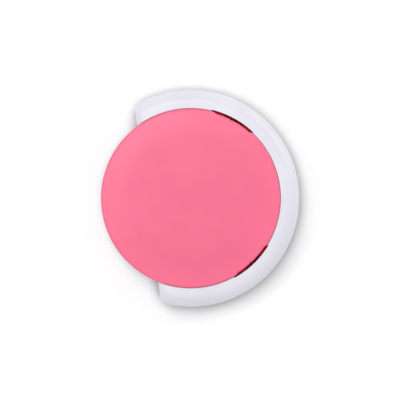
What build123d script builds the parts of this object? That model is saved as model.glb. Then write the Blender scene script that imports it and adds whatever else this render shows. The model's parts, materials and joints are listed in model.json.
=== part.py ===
from build123d import *
import os
from math import cos, radians, sin, sqrt, tan

# A round pocket pill splitter. Millimetres, +Z up, -Y is the front edge that the thumb lifts, +Y is the hinge side.
# The pieces are drawn about the axis of the round lid. The finished pieces are moved so that the origin is the
# middle of the footprint, on the surface that the feet stand on.
# Angles of things around the lid are bearings: 0 is the rear centre (+Y), positive towards +X.

# Driving dimensions of the outside
DISC_RADIUS = 28.0
DISC_TOP = 21.0
DISC_EDGE_TOP = 20.45
DISC_FLAT_RADIUS = 17.0
DISC_EDGE_ROUND = 0.85
DISC_SKIRT_BOTTOM = 17.5
DISC_SKIRT_WALL = 1.6
DISC_UNDERSIDE = 19.0
RIM_RADIUS = 34.0
RIM_TOP = 20.0
RIM_ROUND = 4.0
RIM_GAP = 0.06
HORN_END_Y = -13.6
HORN_SWEEP = 125.0
HORN_END_ROUND = 2.6
SEAM_HEIGHT = 5.0
SEAM_GAP = 0.1
FOOT_PROUD = 0.6
BASE_EDGE_ROUND = 1.2
FOOTPRINT_MIDDLE_Y = (RIM_RADIUS - DISC_RADIUS) / 2

# Gaps, overlaps and small edges that many pieces share
REACH = 1.0
FIT_GAP = 0.1
MESH_IN = 0.2
PIN_FIXED_GAP = 0.03
PIN_RUNNING_GAP = 0.05
PAD_GAP = 0.02
SMALL_CHAMFER = 0.2

# Shells
FLOOR_TOP = 2.4
RIM_OUTER_WALL = 1.8
RIM_INNER_WALL = 1.5
RIM_TOP_WALL = 2.0
HORN_END_WALL = 1.9
TUB_RADIUS = 26.8
TUB_WALL = 1.6
TUB_TOP = 17.3
TUB_REAR_BEARING = 72.0
TONGUE_WALL = 1.1
TONGUE_TOP = 6.4
TONGUE_END_GAP = 0.5

# Pivot of the lid, which crosses the lid's edge at PIVOT_BEARING
PIVOT_BEARING = 54.0
PIVOT_Y = DISC_RADIUS * cos(radians(PIVOT_BEARING))
PIVOT_Z = 18.8
PIN_RADIUS = 0.7
PIN_HALF_LENGTH = 24.7
PIN_SEAT_END = 24.9
PIN_POST_OUTER_X = 26.4
PIN_POST_SHOULDER = 16.4
PIN_POST_INNER_GAP = 0.6
KNUCKLE_RADIUS = 2.0
KNUCKLE_INNER_X = 15.0
KNUCKLE_TOP = 19.3
KNUCKLE_SHELL_RADIUS = 27.2

# Clearance slots beside the pivot
SLOT_NEAR_BEARING = 39.0
SLOT_FAR_BEARING = 69.0
SLOT_NEAR_TAPER = 1.5
SLOT_FAR_TAPER = 3.5
SLOT_DISC_RADIUS = 27.5
SLOT_RIM_RADIUS = 28.3
SLOT_LEDGE_RADIUS = 28.1
SLOT_LEDGE_INNER = 26.95
SLOT_LEDGE_BOTTOM = 16.9
SLOT_LEDGE_TOP = 18.6
SLOT_LEDGE_END_GAP = 0.4
SLOT_LEDGE_DIP_TOP = 17.5
SLOT_LEDGE_DIP_HALF = 2.5
OPEN_RELIEF_ANGLES = (64.0, 70.0, 76.0, 80.0)

# Bulkhead and stop
BULKHEAD_FRONT = 13.3
BULKHEAD_REAR = 14.8
BULKHEAD_TOP = 15.4
BULKHEAD_HALF_WIDTH = 21.6
BULKHEAD_NOTCH_HALF = 5.2
BULKHEAD_NOTCH_FLOOR = 11.3
STOP_PAD_THICKNESS = 1.9
STOP_PAD_HALF_WIDTH = 6.0
STOP_PAD_LOW = 6.2
STOP_PAD_HIGH = 10.4
STOP_PAD_CORNER = 0.8

# Pill cradle
CRADLE_HALF_WIDTH = 15.0
CRADLE_FRONT = -14.0
CRADLE_REAR = 11.6
CRADLE_BOTTOM = 4.0
CRADLE_FLOOR = 8.0
CRADLE_TOP = 14.5
CRADLE_HIGH_END = 1.4
CRADLE_LOW_TOP = 11.3
CRADLE_CORNER = 2.5
V_APEX_Y = -0.4
V_HALF_ANGLE = 35.0
V_APEX_ROUND = 1.0
SLIT_HALF_WIDTH = 0.8
PAD_THICKNESS = 1.2
PAD_LENGTH = 12.0
PAD_START = 3.4
PAD_HEIGHT = 5.8
ANVIL_HALF_WIDTH = 1.5
ANVIL_TOP = 7.2
ANVIL_BOTTOM = 4.6
ANVIL_FRONT = -13.4
ANVIL_REAR = 3.4

# Blade and what holds it
BLADE_THICKNESS = 0.4
BLADE_EDGE_Z = 7.5
BLADE_BEVEL_Z = 8.8
BLADE_BACK_Z = 17.4
BLADE_EDGE_THICKNESS = 0.04
BLADE_FRONT = -13.0
BLADE_REAR = 2.4
JAW_HALF_WIDTH = 2.2
JAW_BOTTOM = 14.7
JAW_FRONT = -13.6
JAW_REAR = 8.0
JAW_CLAMP_REAR = 3.0
JAW_BLADE_GAP = 0.02
BLADE_SCREW_Z = 16.3
BLADE_SCREW_YS = (-9.5, -1.2)
BLADE_SCREW_RADIUS = 0.8
BLADE_SCREW_HEAD = 1.3
BLADE_SCREW_TIP_GAP = 0.1
DRIVER_SLOT_DEPTH = 0.3

# Frame inside the lid
FRAME_RADIUS = 24.4
FRAME_TOP = 18.95
FRAME_BOTTOM = 18.05
FRAME_RIM_WALL = 1.2
FRAME_RIM_BOTTOM = 16.8
FRAME_REAR = 13.6
LID_SCREW_PLACES = ((12.5, 7.0), (12.5, -14.0), (-12.5, 7.0), (-12.5, -14.0))
LID_BOSS_RADIUS = 2.0
LID_BOSS_BOTTOM = 17.3
LID_SLEEVE_RADIUS = 3.3
LID_SLEEVE_BOTTOM = 16.2
BUMPER_BEARING = 150.0
BUMPER_RADIUS = 1.0
BUMPER_BOTTOM = 16.0
LEDGE_TOP = 15.9
LEDGE_DEPTH = 3.0
LEDGE_HALF_BEARING = 4.0

# Blade guard
GUARD_INNER_X = 2.6
GUARD_OUTER_X = 3.6
GUARD_TOP = 17.9
GUARD_BOTTOM = 14.75
GUARD_HEEL_BOTTOM = 12.0
GUARD_FRONT = -17.0
GUARD_NOSE = 1.4
GUARD_NECK_FRONT = 14.4
GUARD_NECK_SLOPE = 0.8
GUARD_HUB_RADIUS = 1.2
GUARD_WEB_BEHIND_PIVOT = 0.6
GUARD_WEB_OVER_HUB = 0.3
GUARD_HEEL_FRONT = 3.4
GUARD_HEEL_REAR = 11.0
GUARD_HEEL_SLOPE = 1.6
GUARD_BRIDGE_FRONT = 9.6
GUARD_BRIDGE_REAR = 12.2
GUARD_BRIDGE_LIFT = 1.4
HUB_POCKET_RADIUS = 1.35
HUB_POCKET_HALF = 9.4
PIN_GROOVE_RADIUS = 0.9

# Guard springs
SPRING_WIRE = 0.18
SPRING_MEAN_RADIUS = 0.95
SPRING_PITCH = 0.42
SPRING_TURNS = 8
SPRING_INNER_X = 4.1
SPRING_LEG = 5.4
SPRING_LEG_TILT = -1.5

# Screws and feet
RIM_SCREW_BEARINGS = (-95.0, -30.0, 30.0, 95.0)
RIM_SCREW_CIRCLE = 30.95
RIM_SCREW_TOP = 14.0
RIM_BLOCK_HALF_BEARING = 5.0
PIN_BLOCK_HALF_BEARING = 8.0
CASE_SCREW_RADIUS = 1.0
CASE_SCREW_HEAD = 1.8
CASE_SCREW_HEAD_HEIGHT = 1.2
CASE_SCREW_SINK = 2.4
CASE_SCREW_BOSS = 2.7
FLOOR_EXTRA = 1.2
LID_SCREW_RADIUS = 0.72
LID_SCREW_HEAD = 1.5
LID_SCREW_HEAD_HEIGHT = 0.95
LID_SCREW_TOP = 18.9
CRADLE_SCREW_PLACES = ((9.0, 6.0), (-9.0, 6.0))
CRADLE_SCREW_TOP = 10.0
CRADLE_BOSS_RADIUS = 3.2
CRADLE_RIB_PLACES = ((9.0, -10.0), (-9.0, -10.0))
CROSS_WIDTH = 0.35
CROSS_HALF_LENGTH = 0.9
CROSS_DEPTH = 0.5
SCREW_HEAD_ROUND = 0.38
SCREW_END_ROOM = 0.4
FOOT_PLACES = ((14.0, -17.0), (-14.0, -17.0), (19.0, 18.5), (-19.0, 18.5))
FOOT_RADIUS = 3.2
FOOT_RECESS = 1.0
FOOT_EDGE = 0.3


def block(x0, x1, y0, y1, z0, z1):
    """A box between the given limits."""
    middle = Pos((x0 + x1) / 2, (y0 + y1) / 2, (z0 + z1) / 2)
    return middle * Box(x1 - x0, y1 - y0, z1 - z0)


def post(radius, z0, z1, place=(0, 0)):
    """An upright cylinder."""
    return Pos(place[0], place[1], (z0 + z1) / 2) * Cylinder(radius, z1 - z0)


def rod(radius, x0, x1, y=PIVOT_Y, z=PIVOT_Z):
    """A cylinder along X; by default it is on the lid's pivot."""
    return Pos((x0 + x1) / 2, y, z) * Rot(0, 90, 0) * Cylinder(radius, x1 - x0)


def on_circle(radius, bearing):
    """The point at a bearing from the rear centre."""
    return (radius * sin(radians(bearing)), radius * cos(radians(bearing)))


def turned(face, start_bearing, end_bearing):
    """Revolves a radial face about Z between two bearings."""
    sweep_angle = end_bearing - start_bearing
    return Rot(0, 0, 90 - end_bearing) * revolve(face, Axis.Z, sweep_angle)


def band(r0, r1, z0, z1, start_bearing, end_bearing):
    """A curved wall of rectangular section between two bearings."""
    middle = Pos((r0 + r1) / 2, (z0 + z1) / 2)
    face = Plane.XZ * middle * Rectangle(r1 - r0, z1 - z0)
    return turned(face, start_bearing, end_bearing)


def behind(solid, y):
    """The stretch of a solid behind a cross plane."""
    side = RIM_RADIUS + REACH
    return solid & block(-side, side, y, side, -REACH, DISC_TOP + REACH)


def mirrored(solid):
    """The same solid on the other side of the blade's plane."""
    return mirror(solid, Plane.YZ)


def both_sides(solid):
    """A solid together with its mirror image."""
    return solid + mirrored(solid)


def radius_of(point):
    """A point's distance from the lid's axis."""
    return sqrt(point.X**2 + point.Y**2)


def horn_block(inner_radius, z0, z1):
    """The C-shaped outline of the rim as a solid block, cut straight across the horns, with rounded corners."""
    solid = behind(band(inner_radius, RIM_RADIUS, z0, z1, -HORN_SWEEP, HORN_SWEEP), HORN_END_Y)
    corners = [edge for edge in solid.edges().filter_by(Axis.Z) if radius_of(edge.center()) > RIM_RADIUS - REACH]
    return fillet(corners, HORN_END_ROUND)


# ---------------------------------------------------------------- rim shell


def rim_section():
    """The rim's outline, with its top outer corner rounded."""
    inner = DISC_RADIUS + RIM_GAP
    turn = RIM_ROUND * (1 - sin(radians(45)))
    with BuildPart() as made:
        with BuildSketch(Plane.XZ):
            with BuildLine():
                Polyline(
                    (RIM_RADIUS, RIM_TOP - RIM_ROUND),
                    (RIM_RADIUS, SEAM_HEIGHT),
                    (inner, SEAM_HEIGHT),
                    (inner, RIM_TOP),
                    (RIM_RADIUS - RIM_ROUND, RIM_TOP),
                )
                ThreePointArc(
                    (RIM_RADIUS - RIM_ROUND, RIM_TOP),
                    (RIM_RADIUS - turn, RIM_TOP - turn),
                    (RIM_RADIUS, RIM_TOP - RIM_ROUND),
                )
            make_face()
        revolve(axis=Axis.Z, revolution_arc=2 * HORN_SWEEP)
    return Rot(0, 0, 90 - HORN_SWEEP) * made.part


def rim_end_edges(solid):
    """The outer and top edges of the rim's two end faces."""
    chosen = []
    for face in solid.faces().filter_by(Plane.XZ):
        for edge in face.edges():
            middle = edge.position_at(0.5)
            if radius_of(middle) > DISC_RADIUS + REACH and middle.Z > SEAM_HEIGHT + REACH:
                chosen.append(edge)
    return chosen


def rim_blocks():
    """Solid places in the rim's hollow, for the four screws and the two ends of the pin."""
    low = TONGUE_TOP + FIT_GAP
    high = RIM_TOP - RIM_TOP_WALL + MESH_IN
    inner = DISC_RADIUS + RIM_GAP + RIM_INNER_WALL - MESH_IN
    outer = RIM_RADIUS - RIM_OUTER_WALL + MESH_IN
    solid = Part()
    for bearing in RIM_SCREW_BEARINGS:
        half = RIM_BLOCK_HALF_BEARING
        solid += band(inner, outer, low, high, bearing - half, bearing + half)
    for bearing in (-PIVOT_BEARING, PIVOT_BEARING):
        half = PIN_BLOCK_HALF_BEARING
        solid += band(inner, outer, low, high, bearing - half, bearing + half)
    return solid


def slot_relief():
    """What the rim loses beside the pivot: a slightly wider bore."""
    bearings = (SLOT_NEAR_BEARING, SLOT_FAR_BEARING)
    return band(DISC_RADIUS - REACH, SLOT_RIM_RADIUS, SEAM_HEIGHT - REACH, RIM_TOP + REACH, *bearings)


def pin_seat():
    """The slot, open at the bottom, that takes one end of the hinge pin."""
    radius = PIN_RADIUS + PIN_FIXED_GAP
    start = DISC_RADIUS * sin(radians(PIVOT_BEARING)) - 2 * REACH
    front = PIVOT_Y - radius
    rear = PIVOT_Y + radius
    groove = block(start, PIN_SEAT_END, front, rear, SEAM_HEIGHT - REACH, PIVOT_Z)
    foot_end = PIN_POST_OUTER_X + FIT_GAP
    groove += block(start, foot_end, front, rear, SEAM_HEIGHT - REACH, PIN_POST_SHOULDER + FIT_GAP)
    return groove + rod(radius, start, PIN_SEAT_END)


def rim_shell():
    """The white C-shaped upper shell."""
    solid = behind(rim_section(), HORN_END_Y)
    solid = fillet(rim_end_edges(solid), HORN_END_ROUND)
    inner = DISC_RADIUS + RIM_GAP + RIM_INNER_WALL
    outer = RIM_RADIUS - RIM_OUTER_WALL
    hollow = band(inner, outer, SEAM_HEIGHT - REACH, RIM_TOP - RIM_TOP_WALL, -HORN_SWEEP, HORN_SWEEP)
    solid -= behind(hollow, HORN_END_Y + HORN_END_WALL)
    solid += rim_blocks()
    solid -= both_sides(slot_relief())
    solid -= both_sides(pin_seat())
    for bearing in RIM_SCREW_BEARINGS:
        place = on_circle(RIM_SCREW_CIRCLE, bearing)
        end = RIM_SCREW_TOP + SCREW_END_ROOM
        solid -= post(CASE_SCREW_RADIUS + PIN_FIXED_GAP, SEAM_HEIGHT - REACH, end, place)
    return solid


# -------------------------------------------------------------- lower shell


def base_plate():
    """The floor, with a rounded bottom edge."""
    horns = horn_block(TUB_RADIUS - 3 * REACH, FOOT_PROUD, SEAM_HEIGHT - SEAM_GAP)
    bottom = [edge for edge in horns.edges().group_by(Axis.Z)[0] if radius_of(edge.position_at(0.5)) > TUB_RADIUS]
    horns = fillet(bottom, BASE_EDGE_ROUND)
    inner = TUB_RADIUS - 4 * REACH
    hollow = band(inner, RIM_RADIUS - RIM_OUTER_WALL, FLOOR_TOP, RIM_TOP, -HORN_SWEEP, HORN_SWEEP)
    horns -= behind(hollow, HORN_END_Y + HORN_END_WALL)
    tub = post(TUB_RADIUS, FOOT_PROUD, FLOOR_TOP)
    return horns + fillet(tub.edges().group_by(Axis.Z)[0], BASE_EDGE_ROUND)


def tub_wall():
    """The round wall under the front and sides of the lid, and the webs that close it to the horns."""
    inner = TUB_RADIUS - TUB_WALL
    low = FLOOR_TOP - MESH_IN
    wall = band(inner, TUB_RADIUS, low, TUB_TOP, TUB_REAR_BEARING, 360 - TUB_REAR_BEARING)
    webs = band(TUB_RADIUS - MESH_IN, DISC_RADIUS - FIT_GAP, low, TUB_TOP, -HORN_SWEEP, HORN_SWEEP)
    return wall + (behind(webs, HORN_END_Y) - behind(webs, HORN_END_Y + HORN_END_WALL))


def tongue():
    """The thin wall that locates the rim shell on the lower shell."""
    outer = RIM_RADIUS - RIM_OUTER_WALL - FIT_GAP
    inner = outer - TONGUE_WALL
    low = FLOOR_TOP - MESH_IN
    wall = band(inner, outer, low, TONGUE_TOP, -HORN_SWEEP, HORN_SWEEP)
    wall += band(inner, outer + REACH, low, SEAM_HEIGHT - SEAM_GAP, -HORN_SWEEP, HORN_SWEEP)
    return behind(wall, HORN_END_Y + HORN_END_WALL + TONGUE_END_GAP)


def bulkhead():
    """The cross wall between the cradle and the space that the lid's tail swings into."""
    half = BULKHEAD_HALF_WIDTH
    solid = block(-half, half, BULKHEAD_FRONT, BULKHEAD_REAR, FLOOR_TOP - MESH_IN, BULKHEAD_TOP)
    notch = BULKHEAD_NOTCH_HALF
    return solid - block(-notch, notch, 0, DISC_RADIUS, BULKHEAD_NOTCH_FLOOR, DISC_TOP)


def pin_posts():
    """The two upright ribs that hold the hinge pin up in its seats."""
    start = SLOT_RIM_RADIUS * sin(radians(PIVOT_BEARING)) + PIN_POST_INNER_GAP
    front = PIVOT_Y - PIN_RADIUS + FIT_GAP
    rear = PIVOT_Y + PIN_RADIUS - FIT_GAP
    low = FLOOR_TOP - MESH_IN
    finger = block(start, PIN_HALF_LENGTH, front, rear, low, PIVOT_Z - PIN_RADIUS - PIN_FIXED_GAP)
    foot = block(start, PIN_POST_OUTER_X, front, rear, low, PIN_POST_SHOULDER)
    return both_sides(finger + foot)


def screw_bosses():
    """Bosses under the rim's screws and under the cradle."""
    outer = RIM_RADIUS - RIM_OUTER_WALL - FIT_GAP
    inner = DISC_RADIUS + RIM_GAP + RIM_INNER_WALL + FIT_GAP
    solid = Part()
    for bearing in RIM_SCREW_BEARINGS:
        half = RIM_BLOCK_HALF_BEARING
        solid += band(inner, outer, FLOOR_TOP - MESH_IN, TONGUE_TOP, bearing - half, bearing + half)
    for place in CRADLE_SCREW_PLACES + CRADLE_RIB_PLACES:
        solid += post(CRADLE_BOSS_RADIUS, FLOOR_TOP - MESH_IN, CRADLE_BOTTOM - FIT_GAP, place)
    return solid


def bumper_ledges():
    """Two ledges inside the tub's wall, where the lid's rubber bumpers land."""
    outer = TUB_RADIUS - TUB_WALL + MESH_IN
    solid = Part()
    for bearing in (-BUMPER_BEARING, BUMPER_BEARING):
        half = LEDGE_HALF_BEARING
        ends = (bearing - half, bearing + half)
        solid += band(outer - LEDGE_DEPTH, outer, FLOOR_TOP - MESH_IN, LEDGE_TOP, ends[0], ends[1])
    return solid


def screw_hole(place):
    """A clearance hole with a counterbore, from the underside."""
    through = post(CASE_SCREW_RADIUS + FIT_GAP, 0, TONGUE_TOP + REACH, place)
    head = post(CASE_SCREW_HEAD + FIT_GAP, 0, CASE_SCREW_SINK, place)
    return through + head


def lower_shell():
    """The white tray and tub that carries everything else."""
    solid = base_plate() + tub_wall() + tongue() + bulkhead() + pin_posts()
    solid += screw_bosses() + bumper_ledges()
    places = [on_circle(RIM_SCREW_CIRCLE, bearing) for bearing in RIM_SCREW_BEARINGS]
    for place in places + list(CRADLE_SCREW_PLACES):
        solid += post(CASE_SCREW_BOSS, FLOOR_TOP - MESH_IN, FLOOR_TOP + FLOOR_EXTRA, place)
        solid -= screw_hole(place)
    for place in FOOT_PLACES:
        solid -= post(FOOT_RADIUS + FIT_GAP, 0, FOOT_PROUD + FOOT_RECESS, place)
    return solid


# ------------------------------------------------------------- cradle parts


def v_pocket():
    """The V-shaped pocket that centres a tablet, open at the front."""
    depth = V_APEX_Y - CRADLE_FRONT + REACH
    half = depth * tan(radians(V_HALF_ANGLE))
    outline = Polyline((0, V_APEX_Y), (half, V_APEX_Y - depth), (-half, V_APEX_Y - depth), close=True)
    face = make_face(outline)
    apex = face.vertices().sort_by(Axis.Y)[-1]
    face = fillet([apex], V_APEX_ROUND)
    return Pos(0, 0, CRADLE_FLOOR) * extrude(face, CRADLE_TOP)


def pill_cradle():
    """The moulded cradle that the tablet lies in."""
    half = CRADLE_HALF_WIDTH
    solid = block(-half, half, CRADLE_FRONT, CRADLE_REAR, CRADLE_BOTTOM, CRADLE_TOP)
    solid = fillet(solid.edges().filter_by(Axis.Z), CRADLE_CORNER)
    solid -= block(-half, half, CRADLE_HIGH_END, CRADLE_REAR, CRADLE_LOW_TOP, CRADLE_TOP)
    solid -= v_pocket()
    slit = SLIT_HALF_WIDTH
    solid -= block(-slit, slit, CRADLE_FRONT, ANVIL_REAR, ANVIL_TOP - REACH, CRADLE_TOP)
    seat = ANVIL_HALF_WIDTH + PIN_FIXED_GAP
    front = ANVIL_FRONT - PIN_FIXED_GAP
    rear = ANVIL_REAR + PIN_FIXED_GAP
    solid -= block(-seat, seat, front, rear, CRADLE_BOTTOM, ANVIL_TOP + PIN_FIXED_GAP)
    for place in CRADLE_SCREW_PLACES:
        end = CRADLE_SCREW_TOP + SCREW_END_ROOM
        solid -= post(CASE_SCREW_RADIUS + PIN_FIXED_GAP, CRADLE_BOTTOM, end, place)
    return solid


def grip_pad():
    """The soft strip on the +X wall of the V."""
    strip = block(
        PAD_START,
        PAD_START + PAD_LENGTH,
        -PAD_GAP - PAD_THICKNESS,
        -PAD_GAP,
        CRADLE_FLOOR + PAD_GAP,
        CRADLE_FLOOR + PAD_GAP + PAD_HEIGHT,
    )
    return Pos(0, V_APEX_Y, 0) * Rot(0, 0, V_HALF_ANGLE - 90) * strip


def cutting_anvil():
    """The strip under the slit that the blade's edge closes on."""
    half = ANVIL_HALF_WIDTH
    return block(-half, half, ANVIL_FRONT, ANVIL_REAR, ANVIL_BOTTOM, ANVIL_TOP)


# ---------------------------------------------------------------- lid parts


def crown_height(radius):
    """The height of the lid's top, which is flat in the middle and falls away on a circle towards the edge."""
    fall_width = DISC_RADIUS - DISC_EDGE_ROUND - DISC_FLAT_RADIUS
    fall = DISC_TOP - DISC_EDGE_TOP
    crown_radius = (fall_width**2 + fall**2) / (2 * fall)
    return DISC_TOP - crown_radius + sqrt(crown_radius**2 - (radius - DISC_FLAT_RADIUS) ** 2)


def disc_section(radius):
    """The lid's section out to a radius: the crowned top, a rounded edge and a skirt."""
    shoulder = radius - DISC_EDGE_ROUND
    shoulder_top = crown_height(shoulder)
    turn = DISC_EDGE_ROUND * (1 - sin(radians(45)))
    edge_bottom = shoulder_top - DISC_EDGE_ROUND
    middle = (DISC_FLAT_RADIUS + shoulder) / 2
    skirt_inner = DISC_RADIUS - DISC_SKIRT_WALL
    with BuildSketch(Plane.XZ) as made:
        with BuildLine():
            Line((0, DISC_TOP), (DISC_FLAT_RADIUS, DISC_TOP))
            ThreePointArc((DISC_FLAT_RADIUS, DISC_TOP), (middle, crown_height(middle)), (shoulder, shoulder_top))
            ThreePointArc((shoulder, shoulder_top), (radius - turn, shoulder_top - turn), (radius, edge_bottom))
            Polyline(
                (radius, edge_bottom),
                (radius, DISC_SKIRT_BOTTOM),
                (skirt_inner, DISC_SKIRT_BOTTOM),
                (skirt_inner, DISC_UNDERSIDE),
                (0, DISC_UNDERSIDE),
                (0, DISC_TOP),
            )
        make_face()
    return made.sketch


def slot_wedge():
    """The stretch of the lid's edge that is set back beside the pivot."""
    near = SLOT_NEAR_BEARING + SLOT_NEAR_TAPER
    far = SLOT_FAR_BEARING - SLOT_FAR_TAPER
    inner = SLOT_DISC_RADIUS - DISC_EDGE_ROUND
    return band(inner, RIM_RADIUS, 0, DISC_TOP + REACH, near, far)


def slot_taper(set_back_bearing, end_bearing):
    """The plain cut that runs the set-back edge out to the full radius."""
    inside = on_circle(SLOT_DISC_RADIUS, set_back_bearing)
    outside = on_circle(RIM_RADIUS, set_back_bearing)
    end = on_circle(DISC_RADIUS, end_bearing)
    past_end = on_circle(RIM_RADIUS, end_bearing)
    return extrude(make_face(Polyline(inside, end, past_end, outside, close=True)), DISC_TOP + REACH)


def slot_ledge():
    """The ledge round the lid's skirt that closes the bottom of a clearance slot.

    It dips beside the pin, so that it stays clear of the rim when the lid stands open.
    """
    near = SLOT_NEAR_BEARING + SLOT_LEDGE_END_GAP
    far = SLOT_FAR_BEARING - SLOT_LEDGE_END_GAP
    ledge = band(SLOT_LEDGE_INNER, SLOT_LEDGE_RADIUS, SLOT_LEDGE_BOTTOM, SLOT_LEDGE_TOP, near, far)
    front = PIVOT_Y - SLOT_LEDGE_DIP_HALF
    rear = PIVOT_Y + SLOT_LEDGE_DIP_HALF
    dip = block(0, DISC_RADIUS + REACH, front, rear, SLOT_LEDGE_DIP_TOP, DISC_TOP)
    return ledge - (dip - post(SLOT_DISC_RADIUS - MESH_IN, 0, DISC_TOP))


def open_relief():
    """The rim's wall as the lid meets it when it stands open, for trimming the set-back edge beside the pin."""
    inner = SLOT_RIM_RADIUS - PIN_RUNNING_GAP
    top = RIM_TOP + PIN_RUNNING_GAP
    wall = band(inner, RIM_RADIUS, SEAM_HEIGHT, top, SLOT_NEAR_BEARING, SLOT_FAR_BEARING)
    solid = Part()
    for angle in OPEN_RELIEF_ANGLES:
        solid += Pos(0, PIVOT_Y, PIVOT_Z) * Rot(angle, 0, 0) * Pos(0, -PIVOT_Y, -PIVOT_Z) * wall
    return solid


def lid_knuckle():
    """The block under the lid that turns on the hinge pin."""
    solid = rod(KNUCKLE_RADIUS, KNUCKLE_INNER_X, DISC_RADIUS)
    solid &= block(0, DISC_RADIUS, 0, DISC_RADIUS, 0, KNUCKLE_TOP)
    return solid & post(KNUCKLE_SHELL_RADIUS, 0, DISC_TOP)


def lid_cover():
    """The round cover, with its knuckles and screw bosses."""
    wedges = both_sides(slot_wedge())
    solid = turned(disc_section(DISC_RADIUS), 0, 360) - wedges
    solid += turned(disc_section(SLOT_DISC_RADIUS), 0, 360) & wedges
    solid -= both_sides(slot_taper(SLOT_NEAR_BEARING + SLOT_NEAR_TAPER, SLOT_NEAR_BEARING))
    solid -= both_sides(slot_taper(SLOT_FAR_BEARING - SLOT_FAR_TAPER, SLOT_FAR_BEARING))
    solid -= both_sides(open_relief())
    solid += both_sides(lid_knuckle() + slot_ledge())
    for place in LID_SCREW_PLACES:
        solid += post(LID_BOSS_RADIUS, LID_BOSS_BOTTOM, DISC_UNDERSIDE + MESH_IN, place)
        solid -= post(LID_SCREW_RADIUS + PIN_FIXED_GAP, 0, LID_SCREW_TOP + SCREW_END_ROOM, place)
    solid -= rod(PIN_RADIUS + PIN_RUNNING_GAP, -DISC_RADIUS, DISC_RADIUS)
    solid -= rod(PIN_GROOVE_RADIUS, -KNUCKLE_INNER_X, KNUCKLE_INNER_X)
    solid -= rod(HUB_POCKET_RADIUS, -HUB_POCKET_HALF, HUB_POCKET_HALF)
    return solid


def jaw_holes():
    """Holes for the two screws that clamp the blade."""
    radius = BLADE_SCREW_RADIUS + PIN_FIXED_GAP
    half = JAW_HALF_WIDTH
    solid = Part()
    for y in BLADE_SCREW_YS:
        solid += rod(radius, -half - REACH, half + REACH, y, BLADE_SCREW_Z)
    return solid


def lid_frame():
    """The plate inside the lid, with the fixed jaw that carries the blade."""
    solid = post(FRAME_RADIUS, FRAME_BOTTOM, FRAME_TOP)
    inner = FRAME_RADIUS - FRAME_RIM_WALL
    solid += band(inner, FRAME_RADIUS, FRAME_RIM_BOTTOM, FRAME_TOP, 0, 360)
    half = JAW_HALF_WIDTH
    slit = BLADE_THICKNESS / 2 + JAW_BLADE_GAP
    solid += block(-half, -slit, JAW_FRONT, JAW_REAR, JAW_BOTTOM, FRAME_TOP)
    solid += block(-half, half, JAW_CLAMP_REAR + FIT_GAP, JAW_REAR, JAW_BOTTOM, FRAME_TOP)
    for place in LID_SCREW_PLACES:
        solid += post(LID_SLEEVE_RADIUS, LID_SLEEVE_BOTTOM, FRAME_TOP, place)
        solid -= post(LID_BOSS_RADIUS + FIT_GAP, LID_BOSS_BOTTOM, DISC_TOP, place)
        solid -= post(LID_SCREW_RADIUS + FIT_GAP, 0, DISC_TOP, place)
    solid -= jaw_holes()
    return solid - block(-DISC_RADIUS, DISC_RADIUS, FRAME_REAR, DISC_RADIUS, 0, DISC_TOP)


def blade():
    """The stainless blade, bevelled to its lower edge."""
    half = BLADE_THICKNESS / 2
    edge = BLADE_EDGE_THICKNESS / 2
    outline = Polyline(
        (-half, BLADE_BACK_Z),
        (half, BLADE_BACK_Z),
        (half, BLADE_BEVEL_Z),
        (edge, BLADE_EDGE_Z),
        (-edge, BLADE_EDGE_Z),
        (-half, BLADE_BEVEL_Z),
        close=True,
    )
    solid = extrude(Plane.XZ.offset(-BLADE_REAR) * make_face(outline), BLADE_REAR - BLADE_FRONT)
    return solid - jaw_holes()


def countersink(radius, y):
    """A cone under a screw's flat head, on the clamp's outer face."""
    depth = radius - BLADE_SCREW_RADIUS
    middle = Pos(JAW_HALF_WIDTH - depth / 2, y, BLADE_SCREW_Z)
    return middle * Rot(0, 90, 0) * Cone(BLADE_SCREW_RADIUS, radius, depth)


def blade_clamp():
    """The removable jaw beside the blade."""
    slit = BLADE_THICKNESS / 2 + JAW_BLADE_GAP
    top = FRAME_BOTTOM - FIT_GAP
    solid = block(slit, JAW_HALF_WIDTH, JAW_FRONT, JAW_CLAMP_REAR, JAW_BOTTOM, top)
    for y in BLADE_SCREW_YS:
        solid -= countersink(BLADE_SCREW_HEAD + FIT_GAP, y)
    return solid - jaw_holes()


# -------------------------------------------------------------- guard parts


def guard_arm():
    """One side plate of the blade guard."""
    hub_bottom = PIVOT_Z - GUARD_HUB_RADIUS
    outline = Polyline(
        (GUARD_NECK_FRONT - GUARD_NECK_SLOPE, GUARD_TOP),
        (GUARD_NECK_FRONT, PIVOT_Z - FIT_GAP),
        (PIVOT_Y + GUARD_WEB_BEHIND_PIVOT, PIVOT_Z - FIT_GAP),
        (PIVOT_Y + GUARD_WEB_BEHIND_PIVOT, hub_bottom + GUARD_WEB_OVER_HUB),
        (GUARD_HEEL_REAR, GUARD_HEEL_BOTTOM),
        (GUARD_HEEL_FRONT, GUARD_HEEL_BOTTOM),
        (GUARD_HEEL_FRONT - GUARD_HEEL_SLOPE, GUARD_BOTTOM),
        (GUARD_FRONT, GUARD_BOTTOM),
        (GUARD_FRONT, GUARD_TOP),
        close=True,
    )
    plate = extrude(Plane.YZ * make_face(outline), GUARD_OUTER_X - GUARD_INNER_X)
    return Pos(GUARD_INNER_X, 0, 0) * plate


def blade_guard():
    """The guard that swings on the hinge pin and hangs beside the blade when the lid is up."""
    solid = both_sides(guard_arm())
    width = GUARD_OUTER_X
    solid += rod(GUARD_HUB_RADIUS, -width, width)
    nose_rear = GUARD_FRONT + GUARD_NOSE
    solid += block(-width, width, GUARD_FRONT, nose_rear, GUARD_BOTTOM, GUARD_TOP)
    bridge_bottom = GUARD_HEEL_BOTTOM + GUARD_BRIDGE_LIFT
    solid += block(-width, width, GUARD_BRIDGE_FRONT, GUARD_BRIDGE_REAR, bridge_bottom, GUARD_TOP)
    return solid - rod(PIN_RADIUS + PIN_RUNNING_GAP, -width - REACH, width + REACH)


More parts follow.
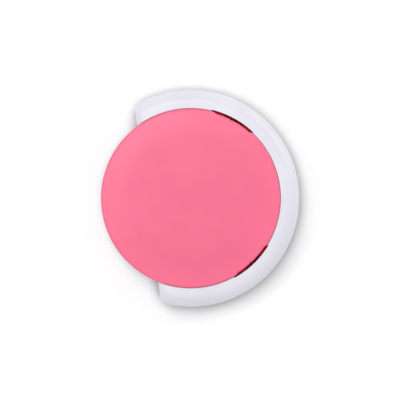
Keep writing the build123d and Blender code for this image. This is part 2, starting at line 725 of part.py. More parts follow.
def spring_leg(x):
    """One straight leg of a guard spring, pointing forward under the lid's frame."""
    leg = Pos(0, 0, -SPRING_LEG / 2) * Cylinder(SPRING_WIRE, SPRING_LEG)
    placed = Pos(x, 0, -SPRING_MEAN_RADIUS) * Rot(-90 - SPRING_LEG_TILT, 0, 0) * leg
    return Pos(0, PIVOT_Y, PIVOT_Z) * placed


def guard_spring():
    """The torsion spring on the +X side of the guard."""
    length = SPRING_PITCH * SPRING_TURNS
    path = Helix(SPRING_PITCH, length, SPRING_MEAN_RADIUS)
    section = Plane(path @ 0, z_dir=path % 0) * Circle(SPRING_WIRE)
    coil = sweep(section, path)
    placed = Pos(SPRING_INNER_X, PIVOT_Y, PIVOT_Z) * Rot(0, 90, 0) * coil
    solid = placed + spring_leg(SPRING_INNER_X) + spring_leg(SPRING_INNER_X + length)
    return solid


# ----------------------------------------------------- fasteners and rubber


def cross_recess(top, place):
    """A cross-shaped recess cut down from a height."""
    long_half = CROSS_HALF_LENGTH
    half = CROSS_WIDTH / 2
    x, y = place
    across = block(x - long_half, x + long_half, y - half, y + half, top, top + CROSS_DEPTH)
    along = block(x - half, x + half, y - long_half, y + long_half, top, top + CROSS_DEPTH)
    return across + along


def upward_screw(place, head_radius, head_bottom, head_height, shank_radius, top):
    """A pan-head screw driven up from below."""
    head = post(head_radius, head_bottom, head_bottom + head_height, place)
    head = fillet(head.edges().group_by(Axis.Z)[0], SCREW_HEAD_ROUND)
    shank = post(shank_radius, head_bottom + head_height - MESH_IN, top - shank_radius / 2, place)
    tip_middle = Pos(place[0], place[1], top - shank_radius / 4)
    tip = tip_middle * Cone(shank_radius, shank_radius / 2, shank_radius / 2)
    return head + shank + tip - cross_recess(head_bottom, place)


def case_screws(places, top):
    """Screws whose heads sit in the lower shell's counterbores."""
    bottom = CASE_SCREW_SINK - CASE_SCREW_HEAD_HEIGHT
    solids = []
    for place in places:
        size = (CASE_SCREW_HEAD, bottom, CASE_SCREW_HEAD_HEIGHT, CASE_SCREW_RADIUS)
        solids.append(upward_screw(place, *size, top))
    return Compound(solids)


def lid_screws():
    """Screws that hold the frame up against the lid's bosses."""
    bottom = LID_SLEEVE_BOTTOM - LID_SCREW_HEAD_HEIGHT
    solids = []
    for place in LID_SCREW_PLACES:
        size = (LID_SCREW_HEAD, bottom, LID_SCREW_HEAD_HEIGHT, LID_SCREW_RADIUS)
        solids.append(upward_screw(place, *size, LID_SCREW_TOP))
    return Compound(solids)


def blade_screws():
    """Flat-head screws through the clamp, the blade and the fixed jaw."""
    half = JAW_HALF_WIDTH
    slot_half = CROSS_WIDTH / 2
    solids = []
    for y in BLADE_SCREW_YS:
        solid = rod(BLADE_SCREW_RADIUS, -half, half - BLADE_SCREW_TIP_GAP, y, BLADE_SCREW_Z)
        solid += countersink(BLADE_SCREW_HEAD, y)
        low = BLADE_SCREW_Z - slot_half
        high = BLADE_SCREW_Z + slot_half
        front = y - BLADE_SCREW_HEAD
        rear = y + BLADE_SCREW_HEAD
        solid -= block(half - DRIVER_SLOT_DEPTH, half + REACH, front, rear, low, high)
        solids.append(solid)
    return Compound(solids)


def hinge_pin():
    """The steel pin that the lid and the guard turn on."""
    solid = rod(PIN_RADIUS, -PIN_HALF_LENGTH, PIN_HALF_LENGTH)
    return chamfer(solid.edges(), SMALL_CHAMFER)


def lid_stop_pad():
    """The rubber pad that the lid's tail meets when the lid is fully up."""
    half = STOP_PAD_HALF_WIDTH
    rear = BULKHEAD_REAR + STOP_PAD_THICKNESS
    solid = block(-half, half, BULKHEAD_REAR + PAD_GAP, rear, STOP_PAD_LOW, STOP_PAD_HIGH)
    return fillet(solid.edges().filter_by(Axis.Y), STOP_PAD_CORNER)


def lid_bumpers():
    """Two rubber bumpers under the frame's rim."""
    circle = FRAME_RADIUS - FRAME_RIM_WALL / 2
    top = FRAME_RIM_BOTTOM - PAD_GAP
    solids = []
    for bearing in (-BUMPER_BEARING, BUMPER_BEARING):
        pad = post(BUMPER_RADIUS, BUMPER_BOTTOM, top, on_circle(circle, bearing))
        solids.append(chamfer(pad.edges().group_by(Axis.Z)[0], SMALL_CHAMFER))
    return Compound(solids)


def foot_pads():
    """Four rubber feet in recesses of the lower shell."""
    top = FOOT_PROUD + FOOT_RECESS - PAD_GAP
    solids = []
    for place in FOOT_PLACES:
        pad = post(FOOT_RADIUS, 0, top, place)
        solids.append(fillet(pad.edges().group_by(Axis.Z)[0], FOOT_EDGE))
    return Compound(solids)


def main():
    """Builds every node and writes one STEP file for each."""
    right_pad = grip_pad()
    right_spring = guard_spring()
    rim_places = [on_circle(RIM_SCREW_CIRCLE, bearing) for bearing in RIM_SCREW_BEARINGS]
    nodes = {
        "lower_shell": lower_shell(),
        "rim_shell": rim_shell(),
        "rim_screws": case_screws(rim_places, RIM_SCREW_TOP),
        "foot_pads": foot_pads(),
        "pill_cradle": pill_cradle(),
        "cradle_screws": case_screws(CRADLE_SCREW_PLACES, CRADLE_SCREW_TOP),
        "grip_pad_right": right_pad,
        "grip_pad_left": mirrored(right_pad),
        "cutting_anvil": cutting_anvil(),
        "hinge_pin": hinge_pin(),
        "lid_stop_pad": lid_stop_pad(),
        "lid_cover": lid_cover(),
        "lid_frame": lid_frame(),
        "lid_screws": lid_screws(),
        "lid_bumpers": lid_bumpers(),
        "blade": blade(),
        "blade_clamp": blade_clamp(),
        "blade_screws": blade_screws(),
        "blade_guard": blade_guard(),
        "guard_spring_right": right_spring,
        "guard_spring_left": mirrored(right_spring),
    }
    os.makedirs("parts", exist_ok=True)
    to_origin = Pos(0, -FOOTPRINT_MIDDLE_Y, 0)
    for name, solid in nodes.items():
        export_step(to_origin * solid, f"parts/{name}.step")


main()
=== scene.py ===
import json
import math

import bmesh
import bpy
from mathutils import Matrix, Vector

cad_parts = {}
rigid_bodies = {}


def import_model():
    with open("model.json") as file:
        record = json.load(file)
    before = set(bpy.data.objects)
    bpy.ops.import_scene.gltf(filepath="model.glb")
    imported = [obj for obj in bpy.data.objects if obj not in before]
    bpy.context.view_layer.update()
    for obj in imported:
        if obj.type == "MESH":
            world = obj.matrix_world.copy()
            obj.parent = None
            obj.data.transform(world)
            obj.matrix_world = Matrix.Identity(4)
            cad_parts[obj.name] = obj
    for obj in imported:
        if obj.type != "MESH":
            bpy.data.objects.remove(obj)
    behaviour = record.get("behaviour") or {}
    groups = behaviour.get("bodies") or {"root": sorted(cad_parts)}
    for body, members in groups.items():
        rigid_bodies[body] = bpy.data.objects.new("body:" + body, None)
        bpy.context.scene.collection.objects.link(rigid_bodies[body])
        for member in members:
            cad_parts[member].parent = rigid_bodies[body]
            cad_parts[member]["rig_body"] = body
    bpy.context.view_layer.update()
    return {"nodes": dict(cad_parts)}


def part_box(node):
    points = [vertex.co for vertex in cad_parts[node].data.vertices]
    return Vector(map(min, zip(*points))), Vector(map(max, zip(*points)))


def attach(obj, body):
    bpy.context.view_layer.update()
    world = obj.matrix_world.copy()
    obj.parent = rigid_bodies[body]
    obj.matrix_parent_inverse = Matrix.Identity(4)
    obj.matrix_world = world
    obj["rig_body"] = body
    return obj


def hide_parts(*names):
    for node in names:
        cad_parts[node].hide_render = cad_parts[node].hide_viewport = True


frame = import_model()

# A round pocket pill splitter: a disc lid lies closed in a C-shaped rim, with a narrow slot at each end
# of its hinge. Lengths are in metres, and MM turns millimetres into metres.
MM = 0.001
LID_LOW, LID_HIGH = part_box("lid_cover")
LID_CENTRE = (LID_LOW + LID_HIGH) / 2
LID_RADIUS = (LID_HIGH.x - LID_LOW.x) / 2

# Camera: straight above, rolled so that the hinge side points right and a little up
CAMERA_ROLL = math.radians(82.3)
CAMERA_LENS = 150.0
CAMERA_SENSOR = 36.0
CAMERA_CLIP = (0.01, 10.0)
PICTURE_WIDTH = 124.3 * MM
AIM_FROM_LID = Vector((0.94 * MM, 2.79 * MM, 0))

# Light: each softbox has a name, its side in the picture, its tilt off straight up and its power
SOFTBOXES = (
    ("key_light", 122, 15, 2.7),
    ("left_light", 180, 32, 1.1),
    ("low_right_light", 35, 72, 1.9),
)
SOFTBOX_SIZE = 0.34
SOFTBOX_DISTANCE = 1.0
ROOM_LIGHT = 0.80

# The floor, and the shade painted into it right beside the object: how dark, how many millimetres out, and
# the openness at which the painted shade is full and gone
FLOOR_HALF = 2.0
CONTACT_SHADE = 0.48
CONTACT_SHADE_REACH = 4.5
CONTACT_FULL = 0.5
CONTACT_GONE = 0.95

# The slots round the closed lid, where dark red shade is painted in, in millimetres: where their walls are,
# how soft the borders of their painted shade are, how far across the openness is measured, and the openness
# at their mouth and deep inside
SLOT_TOP = LID_HIGH.z / MM - 1.2
SLOT_BOTTOM = LID_LOW.z / MM + 0.6
SLOT_INNER_RADIUS = LID_RADIUS / MM - 0.8
SLOT_OUTER_RADIUS = LID_RADIUS / MM + 0.4
SLOT_TOP_BORDER = 0.4
SLOT_BORDER = 0.1
SLOT_REACH = 2.5
SLOT_MOUTH_OPENNESS = 0.75
SLOT_DEEP_OPENNESS = 0.45

# The lid's painted sheen on its outer band: where it starts, as a part of the radius, and how far it goes to
# the lighter colour
LID_SHEEN_START = 0.70
LID_SHEEN_FADE = 0.6

# The middle of a noise's range, which a ramp spreads out: wide for a soft change, narrow for a firm one
WIDE = (0.3, 0.7)
NARROW = (0.35, 0.65)

# Where a Mix node keeps its two colours and its result, and how many rays the two ray-traced nodes send
MIX_COLOURS = (6, 7)
MIX_RESULT = 2
ROUNDING_SAMPLES = 4
OPENNESS_SAMPLES = 8

# Grip pads, on walls that stand at this angle to the blade's plane
CRADLE_HALF_ANGLE = math.radians(35.0)
RIB_PITCH = 0.75 * MM
RIB_DEPTH = 0.22 * MM
GRIP_CORNER = 0.5 * MM
GRIP_EDGE = 0.25 * MM

# Stop pad
STOP_CORNER = 0.8 * MM
STOP_EDGE = 0.35 * MM
STOP_CROWN = 0.16 * MM
STOP_GROOVE = 0.14 * MM
STOP_GROOVES = 3

# Feet and bumpers
FOOT_GROOVE = 0.18 * MM
FOOT_RIDGE = 0.05 * MM
FOOT_EDGE = 0.35 * MM
FOOT_TOP_EDGE = 0.1 * MM
BUMPER_DOME = 0.3 * MM
BUMPER_CROWN = 0.1 * MM
BUMPER_TOP_EDGE = 0.05 * MM

# How fine the meshes of the soft pieces are
PAD_MESH = 0.12 * MM
ROUND_SEGMENTS = 72
CORNER_STEPS = 6

# Colours, linear
PINK = (0.765, 0.112, 0.217)
PINK_RUBBED_AND_SHEEN = (0.84, 0.15, 0.26)
# Painted shade, dark red, deep in the slots round the closed lid
PINK_PAINTED_SLOT_SHADE = (0.52, 0.004, 0.010)
WHITE = (0.655, 0.642, 0.70)
WHITE_RUBBED = (0.78, 0.775, 0.82)
# The lighter pink serves both for worn edges and for the painted sheen on the lid's outer band
GUARD_PINK = (0.82, 0.22, 0.34)
SILICONE = (0.85, 0.30, 0.41)
NYLON = (0.70, 0.66, 0.58)
RUBBER = (0.024, 0.024, 0.027)
RUBBER_DUST = (0.085, 0.083, 0.080)
STEEL = (0.60, 0.61, 0.63)
ZINC = (0.48, 0.49, 0.52)
# Painted shade: the hinge pin, a real part, takes the dark red of the shaded slot round it
SLOT_SHADE_RED = (0.17, 0.006, 0.010)
FLOOR = (0.92, 0.92, 0.92)


# ---------------------------------------------------------------- materials


class Graph:
    """A small helper that builds one material's node tree. Its lengths are in millimetres."""

    def __init__(self, name):
        self.material = bpy.data.materials.new(name)
        self.material.use_nodes = True
        self.tree = self.material.node_tree
        self.tree.nodes.clear()
        self.output = self.tree.nodes.new("ShaderNodeOutputMaterial")
        self.shader = self.tree.nodes.new("ShaderNodeBsdfPrincipled")
        self.link(self.shader.outputs["BSDF"], self.output.inputs["Surface"])
        coordinates = self.tree.nodes.new("ShaderNodeTexCoord")
        self.place = self.scaled(coordinates.outputs["Object"], (1 / MM, 1 / MM, 1 / MM))

    def link(self, source, target):
        self.tree.links.new(source, target)

    def feed(self, node, name, value):
        """Gives a node's input a constant or another node's output."""
        target = node.inputs[name]
        if isinstance(value, bpy.types.NodeSocket):
            self.link(value, target)
        elif isinstance(value, tuple) and len(value) == 3 and target.type == "RGBA":
            target.default_value = (*value, 1.0)
        else:
            target.default_value = value

    def set(self, **inputs):
        """Feeds the principled shader. Underscores stand for spaces."""
        for name, value in inputs.items():
            self.feed(self.shader, name.replace("_", " "), value)

    def scaled(self, vector, scale):
        """A vector with each of its parts multiplied."""
        node = self.tree.nodes.new("ShaderNodeMapping")
        self.link(vector, node.inputs["Vector"])
        node.inputs["Scale"].default_value = scale
        return node.outputs["Vector"]

    def height(self):
        """The height above the floor at rest."""
        node = self.tree.nodes.new("ShaderNodeSeparateXYZ")
        self.link(self.place, node.inputs["Vector"])
        return node.outputs["Z"]

    def from_lid_axis(self):
        """The distance from the round lid's axis at rest."""
        flatten = self.tree.nodes.new("ShaderNodeVectorMath")
        flatten.operation = "MULTIPLY_ADD"
        self.link(self.place, flatten.inputs[0])
        flatten.inputs[1].default_value = (1, 1, 0)
        flatten.inputs[2].default_value = (-LID_CENTRE.x / MM, -LID_CENTRE.y / MM, 0)
        length = self.tree.nodes.new("ShaderNodeVectorMath")
        length.operation = "LENGTH"
        self.link(flatten.outputs["Vector"], length.inputs[0])
        return length.outputs["Value"]

    def noise(self, scale, detail=3.0, roughness=0.5, place=None):
        """Noise with features about 1 / scale across."""
        node = self.tree.nodes.new("ShaderNodeTexNoise")
        self.link(place or self.place, node.inputs["Vector"])
        node.inputs["Scale"].default_value = scale
        node.inputs["Detail"].default_value = detail
        node.inputs["Roughness"].default_value = roughness
        return node.outputs["Fac"]

    def cells(self, scale):
        """The distance to the middle of the nearest of many scattered cells."""
        node = self.tree.nodes.new("ShaderNodeTexVoronoi")
        self.link(self.place, node.inputs["Vector"])
        node.inputs["Scale"].default_value = scale
        return node.outputs["Distance"]

    def ramp(self, value, low, high, start=0.0, end=1.0):
        """Maps low..high to start..end."""
        node = self.tree.nodes.new("ShaderNodeMapRange")
        self.link(value, node.inputs["Value"])
        node.inputs["From Min"].default_value = low
        node.inputs["From Max"].default_value = high
        node.inputs["To Min"].default_value = start
        node.inputs["To Max"].default_value = end
        return node.outputs["Result"]

    def mix(self, factor, first, second):
        """A colour between two, each a constant or another node's output."""
        node = self.tree.nodes.new("ShaderNodeMix")
        node.data_type = "RGBA"
        self.feed(node, "Factor", factor)
        for index, colour in zip(MIX_COLOURS, (first, second)):
            if isinstance(colour, bpy.types.NodeSocket):
                self.link(colour, node.inputs[index])
            else:
                node.inputs[index].default_value = (*colour, 1.0)
        return node.outputs[MIX_RESULT]

    def math(self, operation, first, second):
        """A sum on two values, each a constant or another node's output."""
        node = self.tree.nodes.new("ShaderNodeMath")
        node.operation = operation
        for index, value in enumerate((first, second)):
            if isinstance(value, bpy.types.NodeSocket):
                self.link(value, node.inputs[index])
            else:
                node.inputs[index].default_value = value
        return node.outputs["Value"]

    def rounded_normal(self, radius):
        """The normal, as if edges were rounded to a radius."""
        node = self.tree.nodes.new("ShaderNodeBevel")
        node.samples = ROUNDING_SAMPLES
        node.inputs["Radius"].default_value = radius * MM
        return node.outputs["Normal"]

    def edge_mask(self, radius):
        """1 on sharp edges, 0 on flat stretches."""
        geometry = self.tree.nodes.new("ShaderNodeNewGeometry")
        dot = self.tree.nodes.new("ShaderNodeVectorMath")
        dot.operation = "DOT_PRODUCT"
        self.link(self.rounded_normal(radius), dot.inputs[0])
        self.link(geometry.outputs["Normal"], dot.inputs[1])
        return self.ramp(dot.outputs["Value"], 1.0, 0.75)

    def openness(self, distance):
        """1 in the open, 0 where everything around is nearer than a distance."""
        node = self.tree.nodes.new("ShaderNodeAmbientOcclusion")
        node.samples = OPENNESS_SAMPLES
        node.inputs["Distance"].default_value = distance * MM
        return node.outputs["AO"]

    def bump(self, height, depth, strength=1.0, normal=None):
        """Bump of the given depth."""
        node = self.tree.nodes.new("ShaderNodeBump")
        node.inputs["Strength"].default_value = strength
        node.inputs["Distance"].default_value = depth * MM
        self.link(height, node.inputs["Height"])
        if normal is not None:
            self.link(normal, node.inputs["Normal"])
        return node.outputs["Normal"]


def shade_of(colour, factor):
    """A colour made darker or lighter."""
    return tuple(min(1.0, value * factor) for value in colour)


def painted_slot_shade_mask(graph):
    """1 deep in the narrow slots round the closed lid, where dark red shade is painted into the colour."""
    mask = graph.ramp(graph.openness(SLOT_REACH), SLOT_MOUTH_OPENNESS, SLOT_DEEP_OPENNESS)
    height = graph.height()
    radius = graph.from_lid_axis()
    for limit in (
        graph.ramp(height, SLOT_TOP, SLOT_TOP - SLOT_TOP_BORDER),
        graph.ramp(height, SLOT_BOTTOM - SLOT_BORDER, SLOT_BOTTOM),
        graph.ramp(radius, SLOT_OUTER_RADIUS + SLOT_BORDER, SLOT_OUTER_RADIUS),
        graph.ramp(radius, SLOT_INNER_RADIUS - SLOT_BORDER, SLOT_INNER_RADIUS),
    ):
        mask = graph.math("MULTIPLY", mask, limit)
    return mask


def moulded_plastic(name, colour, rubbed_and_sheen, roughness, texture_depth, painted_sheen=0.0):
    """Moulded plastic with flow marks, a fine eroded texture, worn edges and painted dark red shade deep in
    the slots.

    The painted sheen is how far it goes to its lighter colour over the lid's outer band, a painted highlight
    towards the lid's edge.
    """
    graph = Graph(name)
    flow = graph.noise(scale=0.07, detail=2.0)
    grain = graph.noise(scale=5.0, detail=2.0, roughness=0.6)
    edge = graph.edge_mask(radius=0.25)
    painted_sheen_band = graph.ramp(graph.from_lid_axis(), LID_SHEEN_START * LID_RADIUS / MM, LID_RADIUS / MM)
    slot_shade = painted_slot_shade_mask(graph)
    body = graph.mix(graph.ramp(flow, *NARROW), shade_of(colour, 0.97), shade_of(colour, 1.03))
    body = graph.mix(graph.math("MULTIPLY", edge, 0.35), body, rubbed_and_sheen)
    # Painted sheen: the lid lighter towards its edge
    body = graph.mix(graph.math("MULTIPLY", painted_sheen_band, painted_sheen), body, rubbed_and_sheen)
    # Painted shade: dark red deep in the slots
    body = graph.mix(slot_shade, body, PINK_PAINTED_SLOT_SHADE)
    gloss = graph.math("ADD", graph.ramp(grain, *WIDE, -0.04, 0.04), roughness)
    gloss = graph.math("ADD", gloss, graph.math("MULTIPLY", edge, -0.06))
    sink_marks = graph.noise(scale=0.12, detail=1.0)
    sunk = graph.bump(sink_marks, depth=0.02, strength=0.6, normal=graph.rounded_normal(0.12))
    graph.set(
        Base_Color=body,
        Roughness=gloss,
        Normal=graph.bump(grain, texture_depth, strength=0.5, normal=sunk),
        # Painted shade: the reflection is dimmed deep in the slots
        Specular_IOR_Level=graph.ramp(slot_shade, 0.0, 1.0, start=0.5, end=0.05),
        IOR=1.46,
        Subsurface_Weight=0.12,
        Subsurface_Radius=(1.0, 0.5, 0.45),
        Subsurface_Scale=0.5 * MM,
    )
    return graph.material


def silicone(name, colour):
    """Soft translucent silicone, slightly cloudy, with a fine matt grain."""
    graph = Graph(name)
    cloud = graph.noise(scale=0.5)
    grain = graph.noise(scale=9.0, detail=2.0)
    graph.set(
        Base_Color=graph.mix(graph.ramp(cloud, *NARROW), shade_of(colour, 0.86), colour),
        Roughness=graph.ramp(grain, *WIDE, 0.50, 0.64),
        Normal=graph.bump(grain, depth=0.012, strength=0.6),
        IOR=1.41,
        Subsurface_Weight=0.45,
        Subsurface_Radius=(1.0, 0.4, 0.4),
        Subsurface_Scale=1.0 * MM,
    )
    return graph.material


def rubber(name, colour, dusty):
    """Dark rubber with fine pores and pale dust."""
    graph = Graph(name)
    pores = graph.cells(scale=6.0)
    dust = graph.noise(scale=0.9, detail=4.0, roughness=0.6)
    graph.set(
        Base_Color=graph.mix(graph.ramp(dust, 0.52, 0.78), colour, dusty),
        Roughness=graph.ramp(dust, *WIDE, 0.62, 0.82),
        Normal=graph.bump(pores, depth=0.01, strength=0.6),
        Specular_IOR_Level=0.4,
    )
    return graph.material


def nylon(name, colour):
    """Natural nylon with faint marks along the strip, where the blade's edge lands."""
    graph = Graph(name)
    cloud = graph.noise(scale=0.8)
    drawn_out = graph.scaled(graph.place, (6.0, 0.25, 1.0))
    marks = graph.noise(scale=3.0, detail=2.0, roughness=0.7, place=drawn_out)
    graph.set(
        Base_Color=graph.mix(graph.ramp(cloud, *NARROW), shade_of(colour, 0.85), colour),
        Roughness=graph.ramp(cloud, *WIDE, 0.38, 0.52),
        Normal=graph.bump(marks, depth=0.02, strength=0.5, normal=graph.rounded_normal(0.08)),
        IOR=1.53,
        Subsurface_Weight=0.3,
        Subsurface_Radius=(1.0, 0.9, 0.7),
        Subsurface_Scale=0.8 * MM,
    )
    return graph.material


def brushed_metal(name, colour, stretch, roughness, depth):
    """Metal with fine lines and painted shade in its crevices. The stretch is how dense the lines are along
    X, Y and Z.
    """
    graph = Graph(name)
    lines = graph.noise(scale=4.0, roughness=0.7, place=graph.scaled(graph.place, stretch))
    cloud = graph.noise(scale=0.4)
    out_of_painted_crevice_shade = graph.ramp(graph.openness(distance=0.6), 0.05, 0.5)
    body = graph.mix(graph.ramp(lines, *WIDE), shade_of(colour, 0.78), colour)
    # Painted shade in the crevices
    body = graph.mix(out_of_painted_crevice_shade, shade_of(colour, 0.3), body)
    graph.set(
        Base_Color=body,
        Metallic=1.0,
        Roughness=graph.math("ADD", graph.ramp(cloud, *NARROW, -0.04, 0.06), roughness),
        Normal=graph.bump(lines, depth, strength=0.5, normal=graph.rounded_normal(0.05)),
        Anisotropic=0.35,
    )
    return graph.material


def floor_material():
    """A pale matt board with very faint fibres, with painted shade right beside the object."""
    graph = Graph("floor_board")
    fibre = graph.noise(scale=2.0, detail=4.0, roughness=0.6)
    body = graph.mix(graph.ramp(fibre, *WIDE), shade_of(FLOOR, 0.992), FLOOR)
    contact = graph.ramp(graph.openness(CONTACT_SHADE_REACH), CONTACT_FULL, CONTACT_GONE)
    graph.set(
        # Painted shade on the floor beside the object
        Base_Color=graph.mix(contact, shade_of(FLOOR, CONTACT_SHADE), body),
        Roughness=0.9,
        Specular_IOR_Level=0.1,
    )
    return graph.material


def paint(node_names, material):
    """Gives CAD nodes a material."""
    for name in node_names:
        mesh = frame["nodes"][name].data
        mesh.materials.clear()
        mesh.materials.append(material)
        for face in mesh.polygons:
            face.material_index = 0


def paint_plastics():
    """Materials of the moulded pieces."""
    white = moulded_plastic("white_plastic", WHITE, WHITE_RUBBED, roughness=0.36, texture_depth=0.006)
    pink = moulded_plastic(
        "pink_plastic", PINK, PINK_RUBBED_AND_SHEEN, roughness=0.42, texture_depth=0.008, painted_sheen=LID_SHEEN_FADE
    )
    guard_pink = moulded_plastic(
        "guard_plastic", GUARD_PINK, PINK_RUBBED_AND_SHEEN, roughness=0.34, texture_depth=0.006
    )
    paint(("lower_shell", "rim_shell", "pill_cradle", "lid_frame", "blade_clamp"), white)
    paint(("lid_cover",), pink)
    paint(("blade_guard",), guard_pink)
    paint(("cutting_anvil",), nylon("anvil_nylon", NYLON))


def paint_metals():
    """Materials of the steel pieces."""
    ground = brushed_metal("ground_steel", STEEL, stretch=(1.0, 0.08, 5.0), roughness=0.22, depth=0.004)
    zinc = brushed_metal("zinc_steel", ZINC, stretch=(2.0, 2.0, 2.0), roughness=0.34, depth=0.006)
    # Painted shade: the hinge pin coloured in the dark red of the shaded slot
    slot_shade_pin = brushed_metal(
        "pin_steel_painted_slot_shade", SLOT_SHADE_RED, stretch=(0.1, 4.0, 4.0), roughness=0.55, depth=0.004
    )
    wire = brushed_metal("spring_wire", STEEL, stretch=(3.0, 3.0, 3.0), roughness=0.28, depth=0.003)
    paint(("blade",), ground)
    paint(("rim_screws", "cradle_screws", "lid_screws", "blade_screws"), zinc)
    paint(("hinge_pin",), slot_shade_pin)
    paint(("guard_spring_left", "guard_spring_right"), wire)


# --------------------------------------------------------------- soft pieces


def finish_piece(name, shape, material, node):
    """Turns a bmesh into a smooth piece that rides with the CAD node it stands for."""
    bmesh.ops.recalc_face_normals(shape, faces=shape.faces)
    mesh = bpy.data.meshes.new(name)
    shape.to_mesh(mesh)
    shape.free()
    for face in mesh.polygons:
        face.use_smooth = True
    mesh.materials.append(material)
    piece = bpy.data.objects.new(name, mesh)
    bpy.context.scene.collection.objects.link(piece)
    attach(piece, frame["nodes"][node]["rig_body"])
    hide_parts(node)


def rolled(distance, radius):
    """How far a surface has fallen away at a distance from its edge, where it is rounded to a radius."""
    if distance >= radius:
        return 0.0
    return radius - math.sqrt(radius**2 - (radius - distance) ** 2)


def spread(length, rounded):
    """Stations along a length, close together in its two rounded ends."""
    quarter_turns = [math.pi / 2 * step / CORNER_STEPS for step in range(CORNER_STEPS)]
    start = [rounded * (1 - math.cos(angle)) for angle in quarter_turns]
    flat = length - 2 * rounded
    count = max(2, round(flat / PAD_MESH))
    middle = [rounded + flat * step / count for step in range(count + 1)]
    return start + middle + [length - station for station in reversed(start)]


def pad_rows(made, size, corner, edge, relief):
    """The vertices of a pad's front and back, as one pair of rows for each height."""
    width, thickness, height = size
    rounded = max(corner, edge)
    rows = []
    for z in spread(height, rounded):
        half = width / 2 - rolled(min(z, height - z), corner)
        front = []
        back = []
        for station in spread(width, rounded):
            x = (station / width * 2 - 1) * half
            to_edge = min(half - abs(x), z, height - z)
            y = thickness - rolled(max(0.0, to_edge), edge) - relief(x, z)
            front.append(made.verts.new((x, y, z)))
            back.append(made.verts.new((x, 0, z)))
        rows.append((front, back))
    return rows


def pad_shape(size, corner, edge, relief):
    """A pad that is flat at y = 0 and shaped at its +Y face.

    Its corners and edges are rounded, and relief(x, z) is how far the face is cut back at a place.
    """
    made = bmesh.new()
    rows = pad_rows(made, size, corner, edge, relief)
    last = len(rows[0][0]) - 1
    for (front, back), (next_front, next_back) in zip(rows, rows[1:]):
        for index in range(last):
            made.faces.new((front[index], front[index + 1], next_front[index + 1], next_front[index]))
            made.faces.new((back[index + 1], back[index], next_back[index], next_back[index + 1]))
        for index in (0, last):
            made.faces.new((front[index], next_front[index], next_back[index], back[index]))
    for front, back in (rows[0], rows[-1]):
        for index in range(last):
            made.faces.new((front[index], front[index + 1], back[index + 1], back[index]))
    return made


def turned_shape(made, profile, centre):
    """Adds a closed turned solid to a bmesh.

    The profile is (radius, z) points from the axis at the bottom to the axis at the top.
    """
    lowest, *rings, highest = profile
    loops = []
    for radius, z in rings:
        loop = []
        for step in range(ROUND_SEGMENTS):
            angle = 2 * math.pi * step / ROUND_SEGMENTS
            place = (centre.x + radius * math.cos(angle), centre.y + radius * math.sin(angle), z)
            loop.append(made.verts.new(place))
        loops.append(loop)
    bottom = made.verts.new((centre.x, centre.y, lowest[1]))
    top = made.verts.new((centre.x, centre.y, highest[1]))
    for step in range(ROUND_SEGMENTS):
        after = (step + 1) % ROUND_SEGMENTS
        made.faces.new((bottom, loops[0][after], loops[0][step]))
        made.faces.new((top, loops[-1][step], loops[-1][after]))
        for loop, next_loop in zip(loops, loops[1:]):
            made.faces.new((loop[step], loop[after], next_loop[after], next_loop[step]))


def lower_corner(outside, bottom, radius):
    """Profile points round a lower outer corner, from pointing down to pointing outwards."""
    points = []
    for step in range(CORNER_STEPS + 1):
        angle = math.pi / 2 * step / CORNER_STEPS
        r = outside - radius + radius * math.sin(angle)
        points.append((r, bottom + radius - radius * math.cos(angle)))
    return points


def ribs(x, z):
    """How far a grip pad's face is cut back between its upright ribs."""
    return RIB_DEPTH * (0.5 - 0.5 * math.cos(2 * math.pi * x / RIB_PITCH))


def grip_pads():
    """Ribbed silicone strips on the two walls of the V."""
    material = silicone("pad_silicone", SILICONE)
    for node, side in (("grip_pad_right", 1), ("grip_pad_left", -1)):
        low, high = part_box(node)
        across, along, height = high - low
        sine = math.sin(CRADLE_HALF_ANGLE)
        cosine = math.cos(CRADLE_HALF_ANGLE)
        spread_out = cosine**2 - sine**2
        length = (along * cosine - across * sine) / spread_out
        thickness = (across * cosine - along * sine) / spread_out
        made = pad_shape((length, thickness, height), GRIP_CORNER, GRIP_EDGE, ribs)
        turn = Matrix.Rotation(side * (math.pi / 2 + CRADLE_HALF_ANGLE), 4, "Z")
        middle = Vector(((low.x + high.x) / 2, (low.y + high.y) / 2, low.z))
        made.transform(Matrix.Translation(middle) @ turn @ Matrix.Translation((0, -thickness / 2, 0)))
        finish_piece(node.replace("grip_pad", "ribbed_grip"), made, material, node)


def stop_pad(material):
    """The crowned rubber pad behind the cross wall, with three level grooves."""
    low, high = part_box("lid_stop_pad")
    size = high - low

    def crown(x, z):
        level = z / size.z
        arch = STOP_CROWN * ((2 * x / size.x) ** 2 + (2 * level - 1) ** 2)
        wave = math.cos(2 * math.pi * (level - 0.5) * STOP_GROOVES)
        return arch + STOP_GROOVE * max(0.0, wave) ** 4

    made = pad_shape(tuple(size), STOP_CORNER, STOP_EDGE, crown)
    made.transform(Matrix.Translation(((low.x + high.x) / 2, low.y, low.z)))
    finish_piece("stop_pad_crowned", made, material, "lid_stop_pad")


def feet_centres():
    """The centres of the four feet in plan: one in each quarter of the feet's box."""
    low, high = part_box("foot_pads")
    middle = (low + high) / 2
    quarters = {}
    for vertex in frame["nodes"]["foot_pads"].data.vertices:
        quarter = (vertex.co.x > middle.x, vertex.co.y > middle.y)
        quarters.setdefault(quarter, []).append(vertex.co)
    centres = []
    for points in quarters.values():
        xs = [point.x for point in points]
        ys = [point.y for point in points]
        centres.append(Vector(((min(xs) + max(xs)) / 2, (min(ys) + max(ys)) / 2, 0)))
    return centres


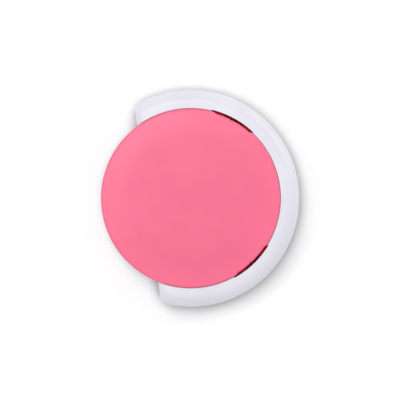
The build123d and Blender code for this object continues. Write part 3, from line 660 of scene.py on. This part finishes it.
def rubber_feet(material):
    """Four feet with rounded edges, each with a ring groove and a dimple underneath."""
    low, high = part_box("foot_pads")
    centres = feet_centres()
    radius = high.x - max(centre.x for centre in centres)
    base = low.z
    profile = [
        (0, base + FOOT_GROOVE),
        (0.30 * radius, base + FOOT_GROOVE),
        (0.36 * radius, base + FOOT_RIDGE),
        (0.42 * radius, base),
        (0.60 * radius, base),
        (0.64 * radius, base + FOOT_RIDGE),
        (0.68 * radius, base + FOOT_GROOVE),
        (0.72 * radius, base + FOOT_GROOVE),
        (0.76 * radius, base + FOOT_RIDGE),
        (0.80 * radius, base),
        *lower_corner(radius, base, FOOT_EDGE),
        (radius, high.z - FOOT_TOP_EDGE),
        (radius - FOOT_TOP_EDGE, high.z),
        (0, high.z),
    ]
    made = bmesh.new()
    for centre in centres:
        turned_shape(made, profile, centre)
    finish_piece("rubber_feet", made, material, "foot_pads")


def bumper_caps(material):
    """Two small rubber caps with domed ends."""
    low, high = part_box("lid_bumpers")
    radius = (high.y - low.y) / 2
    profile = [
        (0, low.z),
        (0.3 * radius, low.z + 0.2 * BUMPER_CROWN),
        (0.5 * radius, low.z + 0.6 * BUMPER_CROWN),
        *lower_corner(radius, low.z + BUMPER_CROWN, BUMPER_DOME),
        (radius, high.z - BUMPER_TOP_EDGE),
        (radius - BUMPER_TOP_EDGE, high.z),
        (0, high.z),
    ]
    made = bmesh.new()
    for side in (-1, 1):
        centre = Vector((side * (high.x - radius), (low.y + high.y) / 2, 0))
        turned_shape(made, profile, centre)
    finish_piece("bumper_caps", made, material, "lid_bumpers")


def soft_pieces():
    """Everything made of rubber or silicone."""
    dark = rubber("dark_rubber", RUBBER, RUBBER_DUST)
    grip_pads()
    stop_pad(dark)
    rubber_feet(dark)
    bumper_caps(dark)


# -------------------------------------------------------------------- stage


def floor():
    """A plain pale floor under the object."""
    half = FLOOR_HALF
    corners = [(-half, -half, 0), (half, -half, 0), (half, half, 0), (-half, half, 0)]
    mesh = bpy.data.meshes.new("floor")
    mesh.from_pydata(corners, [], [(0, 1, 2, 3)])
    made = bpy.data.objects.new("floor", mesh)
    bpy.context.scene.collection.objects.link(made)
    mesh.materials.append(floor_material())


def picture_direction(right, up):
    """The world direction of a direction in the picture, seen from above."""
    x_axis = Vector((math.cos(CAMERA_ROLL), math.sin(CAMERA_ROLL), 0))
    y_axis = Vector((-math.sin(CAMERA_ROLL), math.cos(CAMERA_ROLL), 0))
    return x_axis * right + y_axis * up


def softbox(name, bearing, tilt, power):
    """A round soft light aimed at the object. Its bearing runs anticlockwise from the picture's right."""
    lamp = bpy.data.lights.new(name, "AREA")
    lamp.shape = "DISK"
    lamp.size = SOFTBOX_SIZE
    lamp.energy = power
    turn = math.radians(bearing)
    lean = math.radians(tilt)
    side = picture_direction(math.cos(turn), math.sin(turn))
    toward = side * math.sin(lean) + Vector((0, 0, math.cos(lean)))
    made = bpy.data.objects.new(name, lamp)
    made.location = LID_CENTRE + toward * SOFTBOX_DISTANCE
    made.rotation_euler = (-toward).to_track_quat("-Z", "Y").to_euler()
    bpy.context.scene.collection.objects.link(made)


def lights():
    """A soft key nearly overhead, two weaker lights from the sides, and a bright even room."""
    for name, bearing, tilt, power in SOFTBOXES:
        softbox(name, bearing, tilt, power)
    world = bpy.data.worlds.new("room")
    bpy.context.scene.world = world
    world.use_nodes = True
    background = world.node_tree.nodes["Background"]
    background.inputs["Color"].default_value = (1.0, 1.0, 1.0, 1.0)
    background.inputs["Strength"].default_value = ROOM_LIGHT


def camera():
    """Straight above the object, with a long lens."""
    data = bpy.data.cameras.new("camera")
    data.lens = CAMERA_LENS
    data.sensor_width = CAMERA_SENSOR
    data.clip_start, data.clip_end = CAMERA_CLIP
    made = bpy.data.objects.new("camera", data)
    distance = PICTURE_WIDTH * CAMERA_LENS / CAMERA_SENSOR
    made.location = LID_CENTRE + AIM_FROM_LID
    made.location.z = LID_HIGH.z + distance
    made.rotation_euler = (0, 0, CAMERA_ROLL)
    bpy.context.scene.collection.objects.link(made)
    bpy.context.scene.camera = made


def colours_as_shown():
    """Plain display colours, so that the white floor stays white."""
    bpy.context.scene.view_settings.view_transform = "Standard"
    bpy.context.scene.view_settings.look = "None"


paint_plastics()
paint_metals()
soft_pieces()
floor()
lights()
camera()
colours_as_shown()
